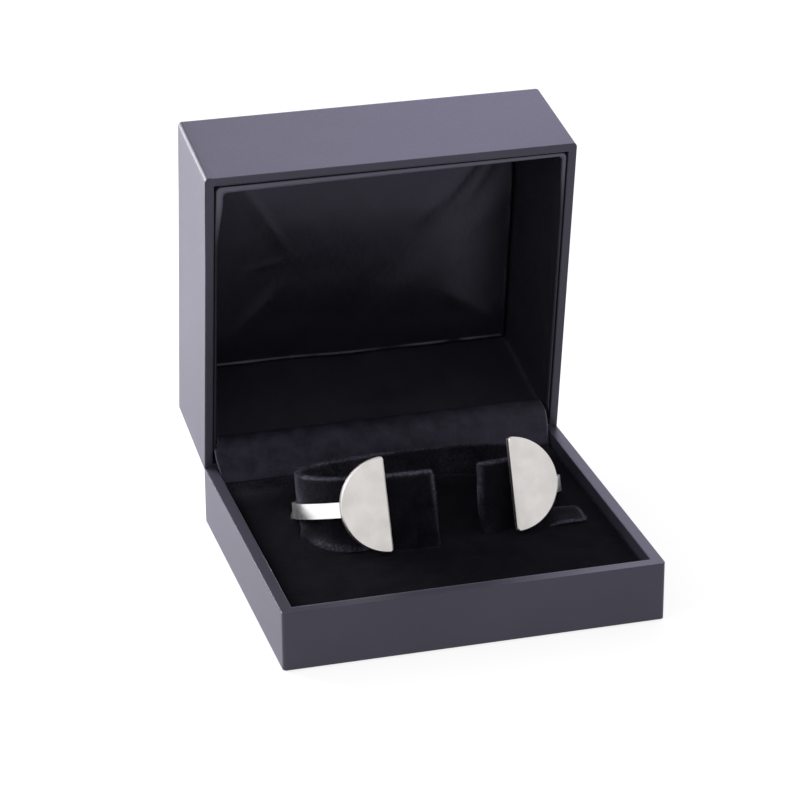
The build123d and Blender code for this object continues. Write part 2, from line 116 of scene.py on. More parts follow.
def piece(name, points, faces, material, cloth=None, painted_light=None):
    """A smooth mesh object from points in millimetres, faces and, per point, its place on the flat cloth, in
    millimetres, and how much painted light its colour gets there: painted sheen or highlight."""
    mesh = bpy.data.meshes.new(name)
    mesh.from_pydata((np.reshape(points, (-1, 3)) * MM).tolist(), [], faces.tolist())
    mesh.shade_smooth()
    if cloth is not None:
        corner_points = np.zeros(len(mesh.loops), np.int64)
        mesh.loops.foreach_get("vertex_index", corner_points)
        layer = mesh.uv_layers.new(name="cloth")
        place = np.reshape(cloth, (-1, 2)) * MM
        layer.data.foreach_set("uv", place[corner_points].astype(np.float32).ravel())
    if painted_light is not None:
        painted_light_attribute = mesh.attributes.new("painted_light", "FLOAT", "POINT")
        painted_light_attribute.data.foreach_set("value", np.asarray(painted_light).astype(np.float32).ravel())
    mesh.materials.append(material)
    made = bpy.data.objects.new(name, mesh)
    bpy.context.scene.collection.objects.link(made)
    return made


def quads(rows, columns, close_rows=False, close_columns=False, flip=False):
    """Quads between neighbouring points of a grid, joined round where a way closes."""
    i = np.arange(rows if close_rows else rows - 1)
    j = np.arange(columns if close_columns else columns - 1)
    i, j = np.meshgrid(i, j, indexing="ij")
    k, m = (i + 1) % rows, (j + 1) % columns
    faces = np.stack([i * columns + j, k * columns + j, k * columns + m, i * columns + m], -1)
    faces = faces.reshape(-1, 4)
    return faces[:, ::-1] if flip else faces


def opened(points):
    """Turns points drawn on the closed lid back about the hinge line by the open angle."""
    turn = math.radians(OPEN_ANGLE)
    y, z = points[..., 1] - HINGE_Y, points[..., 2] - HINGE_Z
    return np.stack([points[..., 0],
                     HINGE_Y + y * math.cos(turn) + z * math.sin(turn),
                     HINGE_Z - y * math.sin(turn) + z * math.cos(turn)], -1)


def smooth(t):
    """Ease from 0 to 1: t squared times (3 minus 2 t), flat at both ends."""
    t = np.clip(t, 0, 1)
    return t * t * (3 - 2 * t)


def quarter_round(distance, radius):
    """Height of a quarter circle as a share of its radius: 0 at its foot, 1 from one radius in."""
    return np.sqrt(1 - (1 - np.clip(distance / radius, 0, 1)) ** 2)


def steep_rise(distance, reach, power):
    """Rise from 0 to 1 over a reach, steep at first: 1 minus a power of the share still to go."""
    return 1 - (1 - np.clip(distance / reach, 0, 1)) ** power


def soft_min(a, b, width):
    """The lower of two fields, blended over a width: a polynomial smooth minimum."""
    share = np.clip(0.5 + 0.5 * (b - a) / width, 0, 1)
    return b + (a - b) * share - width * share * (1 - share)


def ripple(x, y, seed, wave, octaves=3):
    """Gentle unevenness between -1 and 1: a sum of sine waves in seeded directions, each finer one weaker."""
    chance = np.random.default_rng(seed)
    total = np.zeros(np.broadcast(x, y).shape)
    for octave in range(octaves):
        for _ in range(4):
            angle, phase = chance.uniform(0, 2 * np.pi, 2)
            reach = wave / 2 ** octave * chance.uniform(0.7, 1.3)
            total += np.sin((x * np.cos(angle) + y * np.sin(angle)) * 2 * np.pi / reach + phase) / 2 ** octave
    return total / 4


def crease(x, y, start, end, width, height):
    """A soft ridge from start to end: a bell across it, strongest near its start and fading along it."""
    (x0, y0), (x1, y1) = start, end
    length = math.hypot(x1 - x0, y1 - y0)
    ux, uy = (x1 - x0) / length, (y1 - y0) / length
    along = ((x - x0) * ux + (y - y0) * uy) / length
    across = -(x - x0) * uy + (y - y0) * ux
    fade = smooth((along + 0.15) / 0.3) * (1 - smooth((along - 0.55) / 0.55))
    return height * fade * np.exp(-(across / width) ** 2)


# ---- ovals ----
def frame_matrix(lean, yaw, roll, origin, shift=(0, 0, 0)):
    """A frame that leans back about X, is turned about its own Z, then rolled about its own Y, at origin."""
    a, b, c = (math.radians(v) for v in (lean, yaw, roll))
    leaned = np.array([[1, 0, 0], [0, math.cos(a), math.sin(a)], [0, -math.sin(a), math.cos(a)]])
    yawed = np.array([[math.cos(b), -math.sin(b), 0], [math.sin(b), math.cos(b), 0], [0, 0, 1]])
    rolled = np.array([[math.cos(c), 0, -math.sin(c)], [0, 1, 0], [math.sin(c), 0, math.cos(c)]])
    first = leaned @ yawed
    return first @ rolled, np.array(origin) + first @ np.array(shift)


def side_arc(half_width, half_depth, end_radius):
    """Centre distance and radius of an oval's long arcs, and the middles of its end arcs."""
    end_x = half_width - end_radius
    rise = half_depth - end_radius
    radius = (end_x ** 2 + half_depth ** 2 - end_radius ** 2) / (2 * rise)
    return end_x, radius - half_depth, radius


def oval_points(angle, inset, size):
    """Oval by the direction of its outward normal: an arc about an end's middle, or about a far side centre."""
    end_x, side_y, radius = side_arc(*size)
    ends = np.abs(np.cos(angle)) * side_y > np.abs(np.sin(angle)) * end_x
    reach = np.where(ends, size[2], radius) - inset
    x = np.where(ends, np.sign(np.cos(angle)) * end_x, 0) + reach * np.cos(angle)
    y = np.where(ends, 0, -np.sign(np.sin(angle)) * side_y) + reach * np.sin(angle)
    return x, y


def oval_distance(x, y, size):
    """Distance outside an oval: from an end's middle less its radius, or from a far side centre less its own."""
    end_x, side_y, radius = side_arc(*size)
    ends = np.abs(x) * side_y > (np.abs(y) + side_y) * end_x
    from_end = np.hypot(np.abs(x) - end_x, y) - size[2]
    from_side = np.hypot(x, np.abs(y) + side_y) - radius
    return np.where(ends, from_end, from_side)


COLLAR_SIZE = (COLLAR_HALF_WIDTH, COLLAR_HALF_DEPTH, COLLAR_END_RADIUS)
CUFF_SIZE = (COLLAR_HALF_WIDTH + CUFF_SIDE_GAP, COLLAR_HALF_DEPTH + CUFF_GAP, COLLAR_END_RADIUS + CUFF_GAP)
COLLAR_TURN, COLLAR_AT = frame_matrix(COLLAR_LEAN, COLLAR_YAW, 0, COLLAR_ORIGIN)
CUFF_TURN, CUFF_AT = frame_matrix(COLLAR_LEAN, COLLAR_YAW, CUFF_ROLL, COLLAR_ORIGIN, (CUFF_SHIFT, 0, -CUFF_DROP))


def foot_spread(x, y):
    """How far the wrap swells out where it enters the pad: full at the collar's front left, eased away from there."""
    return FOOT_SWELL * smooth((1.5 - y) / 6) * (1 - smooth((x + 26) / 8))


# ---- materials ----
def leatherette(name, rounded):
    """Matt polyurethane-coated paper with a very fine embossed grain: dark slate-violet, pale seen at a slant."""
    material, tree = new_material(name)
    place = add(tree, "ShaderNodeTexCoord").outputs["Object"]
    # Embossed grain 0.35 mm across; the cloudy tone of the coating changes over about 20 mm.
    grain = add(tree, "ShaderNodeTexNoise", {"Vector": place, "Scale": 2800.0, "Detail": 4.0, "Roughness": 0.6})
    pores = add(tree, "ShaderNodeTexVoronoi", {"Vector": place, "Scale": 1900.0}, feature="SMOOTH_F1")
    cloud = add(tree, "ShaderNodeTexNoise", {"Vector": place, "Scale": 50.0, "Detail": 3.0})
    tone = add(tree, "ShaderNodeValToRGB", {"Fac": cloud.outputs["Fac"]}, [(0.3, "#2c2a33"), (0.7, "#32303a")])
    gloss = add(tree, "ShaderNodeMapRange", {"Value": grain.outputs["Fac"], "From Min": 0.3, "From Max": 0.7,
                                             "To Min": 0.38, "To Max": 0.48})
    mixed = add(tree, "ShaderNodeMath", {0: grain.outputs["Fac"], 1: pores.outputs["Distance"]}, operation="ADD")
    bump = add(tree, "ShaderNodeBump", {"Height": mixed.outputs["Value"], "Strength": 0.10, "Distance": 0.00012})
    if rounded:
        # Turned over the board's edge the covering rounds off by half a millimetre.
        turned = add(tree, "ShaderNodeBevel", {"Radius": 0.0005}, samples=6)
        tree.links.new(turned.outputs["Normal"], bump.inputs["Normal"])
    shader = add(tree, "ShaderNodeBsdfPrincipled", {
        "Base Color": tone.outputs["Color"], "Roughness": gloss.outputs["Result"], "IOR": 1.52,
        "Normal": bump.outputs["Normal"], "Specular Tint": linear("#ebe6ff"), "Sheen Weight": 0.50,
        "Sheen Roughness": 0.24, "Sheen Tint": linear("#cfc9ee")})
    add(tree, "ShaderNodeOutputMaterial", {"Surface": shader.outputs["BSDF"]})
    return material


def satin(name, dark, pale, roughness, thread, shine=0.5, blotch=60.0):
    """Polyester satin: long floats of smooth thread give a broad, streaky gloss; a paler colour is painted in as
    highlight round a roll and along edges.
    """
    material, tree = new_material(name)
    place = add(tree, "ShaderNodeUVMap", uv_map="cloth").outputs["UV"]
    # The cloth's UV is in metres; real threads are 0.1 mm apart, drawn at `thread` so that they show.
    stretched = add(tree, "ShaderNodeMapping", {"Vector": place, "Scale": (1.0, 0.12, 1.0)})
    floats = add(tree, "ShaderNodeTexNoise", {"Vector": stretched.outputs["Vector"], "Scale": 1 / (thread * MM),
                                              "Detail": 2.0, "Roughness": 0.7})
    across = add(tree, "ShaderNodeTexWave", {"Vector": place, "Scale": 0.35 / (thread * MM), "Distortion": 1.5,
                                             "Detail": 2.0}, wave_type="BANDS", bands_direction="Y")
    wear = add(tree, "ShaderNodeTexNoise", {"Vector": place, "Scale": blotch, "Detail": 7.0, "Roughness": 0.68})
    tone = add(tree, "ShaderNodeValToRGB", {"Fac": wear.outputs["Fac"]}, [(0.35, dark), (0.65, pale)])
    gloss = add(tree, "ShaderNodeMapRange", {"Value": floats.outputs["Fac"], "From Min": 0.3, "From Max": 0.7,
                                             "To Min": roughness - 0.06, "To Max": roughness + 0.08})
    height = add(tree, "ShaderNodeMath", {0: across.outputs["Fac"], 1: 0.3, 2: floats.outputs["Fac"]},
                 operation="MULTIPLY_ADD")
    bump = add(tree, "ShaderNodeBump", {"Height": height.outputs["Value"], "Strength": 0.22, "Distance": 0.00010})
    # Painted highlight: the mesh's painted_light attribute mixes a pale grey-violet into the colour.
    painted_light_attribute = add(tree, "ShaderNodeAttribute", attribute_name="painted_light", attribute_type="GEOMETRY")
    colour = add(tree, "ShaderNodeMix", {"Factor": painted_light_attribute.outputs["Fac"], "A": tone.outputs["Color"],
                                         "B": linear("#5c5a66")}, data_type="RGBA")
    shader = add(tree, "ShaderNodeBsdfPrincipled", {
        "Base Color": colour.outputs[2], "Roughness": gloss.outputs["Result"], "IOR": 1.5,
        "Specular IOR Level": shine, "Normal": bump.outputs["Normal"], "Specular Tint": linear("#e6e0ff"),
        "Anisotropic": 0.35})
    add(tree, "ShaderNodeOutputMaterial", {"Surface": shader.outputs["BSDF"]})
    return material


def velvet():
    """Black rayon velvet: a dense cut pile that swallows light face on, with grey painted in as sheen along bends and
    edges.
    """
    material, tree = new_material("velvet")
    place = add(tree, "ShaderNodeTexCoord").outputs["Object"]
    # Pile tufts are about 0.25 mm apart, drawn at 0.4 mm; the nap lies one way and another over 8 mm.
    pile = add(tree, "ShaderNodeTexNoise", {"Vector": place, "Scale": 2500.0, "Detail": 5.0, "Roughness": 0.75})
    nap = add(tree, "ShaderNodeTexNoise", {"Vector": place, "Scale": 130.0, "Detail": 3.0, "Distortion": 0.8})
    tone = add(tree, "ShaderNodeValToRGB", {"Fac": nap.outputs["Fac"]}, [(0.35, "#060509"), (0.65, "#0c0b10")])
    # Painted sheen: grey is mixed into the colour where the mesh's painted_light attribute asks for it, broken into
    # clumps and scaled by the nap, standing in for light caught where the cloth bends round an edge.
    painted_light_attribute = add(tree, "ShaderNodeAttribute", attribute_name="painted_light", attribute_type="GEOMETRY")
    clump = add(tree, "ShaderNodeTexNoise", {"Vector": place, "Scale": 1700.0, "Detail": 3.0, "Roughness": 0.7})
    clumps = add(tree, "ShaderNodeMapRange", {"Value": clump.outputs["Fac"], "From Min": 0.38, "From Max": 0.62,
                                              "To Min": 0.40, "To Max": 1.35})
    sheen_share = add(tree, "ShaderNodeMapRange", {"Value": nap.outputs["Fac"], "From Min": 0.35, "From Max": 0.65,
                                               "To Min": 0.55, "To Max": 1.30})
    shown = add(tree, "ShaderNodeMath", {0: painted_light_attribute.outputs["Fac"], 1: clumps.outputs["Result"]},
                operation="MULTIPLY")
    shown = add(tree, "ShaderNodeMath", {0: shown.outputs["Value"], 1: sheen_share.outputs["Result"]},
                operation="MULTIPLY", use_clamp=True)
    colour = add(tree, "ShaderNodeMix", {"Factor": shown.outputs["Value"], "A": tone.outputs["Color"],
                                         "B": linear("#6e6c7c")}, data_type="RGBA")
    height = add(tree, "ShaderNodeMath", {0: nap.outputs["Fac"], 1: 0.8}, operation="MULTIPLY")
    height = add(tree, "ShaderNodeMath", {0: pile.outputs["Fac"], 1: height.outputs["Value"]}, operation="ADD")
    bump = add(tree, "ShaderNodeBump", {"Height": height.outputs["Value"], "Strength": 0.6, "Distance": 0.0004})
    shader = add(tree, "ShaderNodeBsdfPrincipled", {
        "Base Color": colour.outputs[2], "Roughness": 0.95, "Specular IOR Level": 0.04,
        "Normal": bump.outputs["Normal"], "Sheen Weight": 0.06, "Sheen Roughness": 0.2,
        "Sheen Tint": linear("#c9c4e0")})
    add(tree, "ShaderNodeOutputMaterial", {"Surface": shader.outputs["BSDF"]})
    return material


def polished_silver():
    """Sterling silver buffed by hand: a soft mirror with the haze of the last buffing."""
    material, tree = new_material("polished_silver")
    place = add(tree, "ShaderNodeTexCoord").outputs["Object"]
    haze = add(tree, "ShaderNodeTexNoise", {"Vector": place, "Scale": 700.0, "Detail": 4.0, "Roughness": 0.7})
    gloss = add(tree, "ShaderNodeMapRange", {"Value": haze.outputs["Fac"], "From Min": 0.3, "From Max": 0.7,
                                             "To Min": 0.27, "To Max": 0.34})
    bump = add(tree, "ShaderNodeBump", {"Height": haze.outputs["Fac"], "Strength": 0.01, "Distance": 0.00001})
    shader = add(tree, "ShaderNodeBsdfPrincipled", {
        "Base Color": linear("#fefcfb"), "Metallic": 1.0, "Roughness": gloss.outputs["Result"],
        "Normal": bump.outputs["Normal"]})
    add(tree, "ShaderNodeOutputMaterial", {"Surface": shader.outputs["BSDF"]})
    return material


def brushed_silver():
    """Sterling silver rubbed up and down with a fine abrasive: soft vertical streaks and a pale grey satin glow."""
    material, tree = new_material("brushed_silver")
    place = add(tree, "ShaderNodeTexCoord").outputs["Object"]
    # Scratches 0.05 mm wide, drawn at 0.25 mm, run up the plates for about 6 mm.
    drawn = add(tree, "ShaderNodeMapping", {"Vector": place, "Scale": (4000.0, 4000.0, 170.0)})
    streaks = add(tree, "ShaderNodeTexNoise", {"Vector": drawn.outputs["Vector"], "Scale": 1.0, "Detail": 3.0,
                                               "Roughness": 0.65})
    cloud = add(tree, "ShaderNodeTexNoise", {"Vector": place, "Scale": 220.0, "Detail": 3.0})
    tone = add(tree, "ShaderNodeValToRGB", {"Fac": cloud.outputs["Fac"]}, [(0.35, "#cdc9c7"), (0.65, "#d8d4d2")])
    gloss = add(tree, "ShaderNodeMapRange", {"Value": streaks.outputs["Fac"], "From Min": 0.3, "From Max": 0.7,
                                             "To Min": 0.3, "To Max": 0.46})
    bump = add(tree, "ShaderNodeBump", {"Height": streaks.outputs["Fac"], "Strength": 0.18, "Distance": 0.00006})
    shader = add(tree, "ShaderNodeBsdfPrincipled", {
        "Base Color": tone.outputs["Color"], "Metallic": 1.0, "Roughness": gloss.outputs["Result"],
        "Normal": bump.outputs["Normal"], "Anisotropic": 0.4})
    add(tree, "ShaderNodeOutputMaterial", {"Surface": shader.outputs["BSDF"]})
    return material


def plain_finish(name, dark, pale, scale, roughness, depth, metallic=0.0, shine=0.5):
    """A matt finish mottled between two tones by noise of the given scale, with the same noise as its relief."""
    material, tree = new_material(name)
    place = add(tree, "ShaderNodeTexCoord").outputs["Object"]
    grain = add(tree, "ShaderNodeTexNoise", {"Vector": place, "Scale": scale, "Detail": 4.0, "Roughness": 0.65})
    tone = add(tree, "ShaderNodeValToRGB", {"Fac": grain.outputs["Fac"]}, [(0.35, dark), (0.65, pale)])
    gloss = add(tree, "ShaderNodeMapRange", {"Value": grain.outputs["Fac"], "From Min": 0.3, "From Max": 0.7,
                                             "To Min": roughness - 0.06, "To Max": roughness + 0.06})
    bump = add(tree, "ShaderNodeBump", {"Height": grain.outputs["Fac"], "Strength": 0.3, "Distance": depth})
    shader = add(tree, "ShaderNodeBsdfPrincipled", {
        "Base Color": tone.outputs["Color"], "Metallic": metallic, "Specular IOR Level": shine,
        "Roughness": gloss.outputs["Result"], "Normal": bump.outputs["Normal"]})
    add(tree, "ShaderNodeOutputMaterial", {"Surface": shader.outputs["BSDF"]})
    return material


LEATHERETTE = leatherette("leatherette", True)
LAP_LEATHERETTE = leatherette("leatherette_lap", False)
# The lining's satin is dulled by its card, the panel's is drawn tight and glossy, and the hinge's is rubbed; the
# lining's colour is drawn paler than the panel's, painted light that makes up for the shine taken off it.
LINING_SATIN = satin("lining_satin", "#17161b", "#1d1c22", 0.44, 0.35, 0.16)
PANEL_SATIN = satin("panel_satin", "#111015", "#16151b", 0.36, 0.35, 0.42)
HINGE_SATIN = satin("hinge_satin", "#0b0a0f", "#24222d", 0.60, 0.45, 0.24, 200.0)
VELVET = velvet()
POLISHED_SILVER = polished_silver()
BRUSHED_SILVER = brushed_silver()
# Injection-moulded polystyrene, lightly textured: an even, low black gloss.
MOULDED_BLACK = plain_finish("moulded_polystyrene", "#121215", "#17171b", 1500.0, 0.55, 0.00003)
# Liner board, drawn near black and duller than the moulding: painted shade for the narrow gap between the lid's rim
# and the satin roll.
DARKENED_LINER = plain_finish("liner_painted_shade", "#0b0b0e", "#101014", 1500.0, 0.8, 0.00003, 0.0, 0.12)
# Pressed board of mixed paper fibre: dull warm grey, faintly speckled.
CARD = plain_finish("grey_board", "#6d6a64", "#7d7a73", 900.0, 0.85, 0.00006)
# Open-cell foam cut from the block: cells about 0.7 mm across, no gloss at all.
FOAM = plain_finish("polyether_foam", "#33333a", "#45454d", 1400.0, 0.95, 0.0003)
# Kraft paper dyed in the pulp: matt black with short pale fibres in it.
FOOT_PAPER = plain_finish("black_kraft_paper", "#18181b", "#212125", 1800.0, 0.8, 0.00005)
# Steel wire and strip plated in zinc: pale grey metal, half bright.
SPRING_STEEL = plain_finish("zinc_plated_steel", "#9a9ba0", "#b0b1b6", 1200.0, 0.32, 0.00003, 1.0)

FINISHES = {
    "base_shell": MOULDED_BLACK, "base_wrap": LEATHERETTE, "base_foot_sheet": FOOT_PAPER,
    "pad_board": CARD, "pad_foam": FOAM, "pad_velvet": VELVET, "collar_core": MOULDED_BLACK,
    "collar_velvet": VELVET, "collar_strap": VELVET, "base_hinge_leaf": SPRING_STEEL,
    "hinge_pin": SPRING_STEEL, "hinge_spring_left": SPRING_STEEL, "hinge_spring_right": SPRING_STEEL,
    "hinge_cover": HINGE_SATIN, "lid_shell": MOULDED_BLACK, "lid_wrap": LEATHERETTE,
    "lid_liner": DARKENED_LINER, "lid_wall_satin": LINING_SATIN, "lid_panel_board": CARD,
    "lid_panel_foam": FOAM, "lid_panel_satin": PANEL_SATIN, "lid_hinge_leaf": SPRING_STEEL,
    "bangle_band": POLISHED_SILVER, "bangle_left_disc": BRUSHED_SILVER, "bangle_right_disc": BRUSHED_SILVER,
}
for name, finish in FINISHES.items():
    nodes[name].data.materials.clear()
    nodes[name].data.materials.append(finish)


# ---- lid: padded satin panel ----
# Folds that the cloth pulls in from the corners: start, end, half width and height; the band is puckered too.
PANEL_FOLDS = (((-32.5, -27.5), (-18.5, -3.5), 1.6, 0.32), ((33.5, -27.0), (22.5, -10.5), 1.6, 0.20),
               ((-31.5, 16.5), (-19.0, 1.5), 2.0, 0.18), ((-29.0, -1.5), (-18.0, -4.0), 1.1, 0.06),
               ((34.5, 18.5), (18.5, 9.0), 2.2, 0.18))
PANEL_BAND = ((29.0, -27.5), (13.5, -9.0), 2.4, 1.0)


def panel_face(x, y):
    """Depth of the satin below the panel's foot: a rolled edge, then slopes that ease out to a plateau.

    The slope is the smooth minimum of the rises from the four edges, each over its own reach, so the sides meet
    in soft hips; pulled folds run in from the corners, and the cloth is slightly uneven all over.
    """
    left, right = x + PANEL_HALF, PANEL_HALF - x
    front, back = y - PANEL_FRONT, PANEL_BACK - y
    rim = np.maximum(np.minimum(np.minimum(left, right), np.minimum(front, back)), 0)
    foot = 2.35 + 0.85 * smooth((x + y - 6) / 16)
    foot = foot * quarter_round(rim, 0.3)
    full = (0.40 + 0.14 * ripple(x, y, 9, 18.0)) * (1 - 0.9 * np.exp(-((x - 24.5) / 1.6) ** 2) * (y > 20))
    bead = full * np.exp(-((rim - 1.0) / 0.50) ** 2) * smooth((y + 34) / 20)
    from_front = 2.9 * steep_rise(front, 29.0, 1.8)
    from_back = 2.9 * steep_rise(back, 24.0, 1.5)
    from_right = 0.7 * smooth(right / 2) + 2.2 * steep_rise(right, 25.0, 1.4)
    from_left = 1.05 * smooth(left / 2) + 0.088 * left
    lifted = soft_min(soft_min(from_front, from_back, 0.45), soft_min(from_left, from_right, 0.3), 0.4)
    slope = 0.35 * smooth(rim / 0.9) + np.maximum(lifted, 0) * smooth(rim / 1.5)
    puckers = 0.62 + 0.05 * ripple(x, y, 41, 1.8, 2) + 0.024 * ripple(x, y, 43, 1.2, 1)
    folds = crease(x, y, *PANEL_BAND) * puckers
    for fold in PANEL_FOLDS:
        folds += crease(x, y, *fold)
    inner = smooth((rim - 0.8) / 4)
    return foot + bead + slope + (folds + 0.05 * ripple(x, y, 3, 26.0)) * inner


def make_panel():
    """Front face over a grid that crowds to the edges, closed by its sides and a flat back."""
    u, v = (np.sin(t * np.pi / 2) * 0.7 + t * 0.3 for t in (np.linspace(-1, 1, 241), np.linspace(-1, 1, 201)))
    x, y = np.meshgrid(u * PANEL_HALF, (PANEL_FRONT + PANEL_BACK) / 2 + v * (PANEL_BACK - PANEL_FRONT) / 2,
                       indexing="ij")
    points = np.stack([np.stack([x, y, z], -1) for z in (PANEL_FOOT_Z - panel_face(x, y),
                                                         np.full_like(x, PANEL_FOOT_Z))])
    rows, columns = x.shape
    index = np.arange(rows * columns).reshape(rows, columns)
    rim = np.concatenate([index[:-1, 0], index[-1, :-1], index[:0:-1, -1], index[0, :0:-1]])
    wall = np.stack([rim, np.roll(rim, -1), np.roll(rim, -1) + rows * columns, rim + rows * columns], -1)
    faces = np.concatenate([quads(rows, columns, flip=True), quads(rows, columns) + rows * columns, wall])
    made = piece("panel_satin_cushion", opened(points), faces, PANEL_SATIN, points[..., :2])
    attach(made, "lid")
    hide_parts("lid_panel_satin")
    return made


# ---- lid: satin lining with a rolled edge ----
# The roll reaches out over the liner's edge and stands proud of the mouth; past the throat the cloth is tucked in.
ROLL_REACH, ROLL_PROUD, THROAT_TUCK = 0.92, 0.24, 1.7


def rounded_plan(half, front, back, radius, along=60, around=10):
    """Rounded rectangle in order round its edge: a quarter turn at each corner and a straight run to the next."""
    turn = np.linspace(0, np.pi / 2, around)
    centres = [(half - radius, back - radius), (radius - half, back - radius),
               (radius - half, front + radius), (half - radius, front + radius)]
    corners = [np.stack([cx + radius * np.cos(turn + k * np.pi / 2),
                         cy + radius * np.sin(turn + k * np.pi / 2)], -1) for k, (cx, cy) in enumerate(centres)]
    steps = np.linspace(0, 1, along + 2)[1:-1, None]
    runs = []
    for here, there in zip(corners, corners[1:] + corners[:1]):
        runs += [here, here[-1] + (there[0] - here[-1]) * steps]
    return np.concatenate(runs)


def lining_section(roll):
    """Outward offset, height and painted highlight of the lining: round the rolled edge as half an ellipse, then down
    the slope.

    The roll's half width differs round the mouth; inside it the cloth eases back to the sloping card.
    """
    turn = np.linspace(-0.9, np.pi, 19)
    bead_out = (ROLL_REACH - roll[:, None]) + roll[:, None] * np.cos(turn)
    depth = 0.30 + 0.62 * roll[:, None]
    bead_z = MOUTH_Z - ROLL_PROUD + depth * (1 - np.sin(turn))
    # Painted highlight: paler where the roll's crown faces outward, none down the slope.
    shown = np.clip(np.sin(turn), 0, 1) ** 0.7 + 0 * roll[:, None]
    fall = np.linspace(0, 1, 46)[1:] ** 1.25
    start = MOUTH_Z - ROLL_PROUD + depth
    slope_z = start + (THROAT_Z + THROAT_TUCK - start) * fall
    slope_out = (ROLL_REACH - 2 * roll[:, None]) * (1 - smooth((slope_z - start) / 2.6))
    return (np.concatenate([bead_out, slope_out], 1), np.concatenate([bead_z, slope_z], 1),
            np.concatenate([shown, 0 * slope_out], 1))


def make_lining():
    """The section carried round the rounded mouth; each level is the mouth's plan drawn in by the slope.

    The roll is plump at the front, slim at the sides and pressed flat at the back, where the hinge cover laps it.
    """
    mouth = rounded_plan(MOUTH_HALF, MOUTH_FRONT, MOUTH_BACK, CORNER_RADIUS)
    share_x = np.clip((mouth[:, 0] / MOUTH_HALF + 1) / 2, 0, 1)
    at_front = smooth((-mouth[:, 1] - 20) / 16)
    at_back = smooth((mouth[:, 1] - MOUTH_BACK + 2.4) / 2.0)
    roll = (0.34 + at_front * (0.70 - 0.50 * share_x)) * (1 - at_back) + 0.05 * at_back
    out, z, shown = lining_section(roll)
    share = np.maximum((z - MOUTH_Z) / (THROAT_Z - MOUTH_Z), 0)
    half = MOUTH_HALF - SIDE_SLOPE * share + out
    front = MOUTH_FRONT + SIDE_SLOPE * share - out
    back = MOUTH_BACK - BACK_SLOPE * share + out
    x = mouth[:, :1] / MOUTH_HALF * half
    y_share = (mouth[:, 1:] - MOUTH_FRONT) / (MOUTH_BACK - MOUTH_FRONT)
    y = front + y_share * (back - front)
    along = np.concatenate([[0], np.cumsum(np.hypot(*np.diff(mouth, axis=0).T))])[:, None]
    down = z - MOUTH_Z
    inside = smooth(share / 0.15) * (1 - smooth((share - 0.8) / 0.2))
    wave = 0.09 * ripple(along + 0 * z, down * 2.2, 11, 34.0) * inside
    near_x, near_y = mouth[:, :1] / MOUTH_HALF, (2 * y_share - 1)
    x = x - wave * np.sign(near_x) * (np.abs(near_x) > 0.97)
    y = y - wave * np.sign(near_y) * (np.abs(near_y) > 0.97)
    # Painted highlight on the roll: strongest at the front, faint at the sides and more so on the right, none at the
    # back; a faint painted light also pales the right wall.
    bright = (1.25 * at_front + (1 - at_front) * (0.05 + 0.28 * share_x)) * (1 - at_back)
    painted_light = 0.75 * shown * bright[:, None] + 0.03 * smooth((near_x - 0.9) / 0.1) * (1 - shown)
    made = piece("lining_satin_sheet", opened(np.stack([x, y, z], -1)), quads(*z.shape, close_rows=True),
                 LINING_SATIN, np.stack([along + 0 * z, down], -1), painted_light)
    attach(made, "lid")
    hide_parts("lid_wall_satin")
    return made


# ---- hinge cover ----
COVER_PATH = ((35.2, 12.0), (38.5, 19.1), (42.8, 21.15))
COVER_HALF, COVER_CLOTH, CUT_EDGE = 41.6, 0.15, 0.5


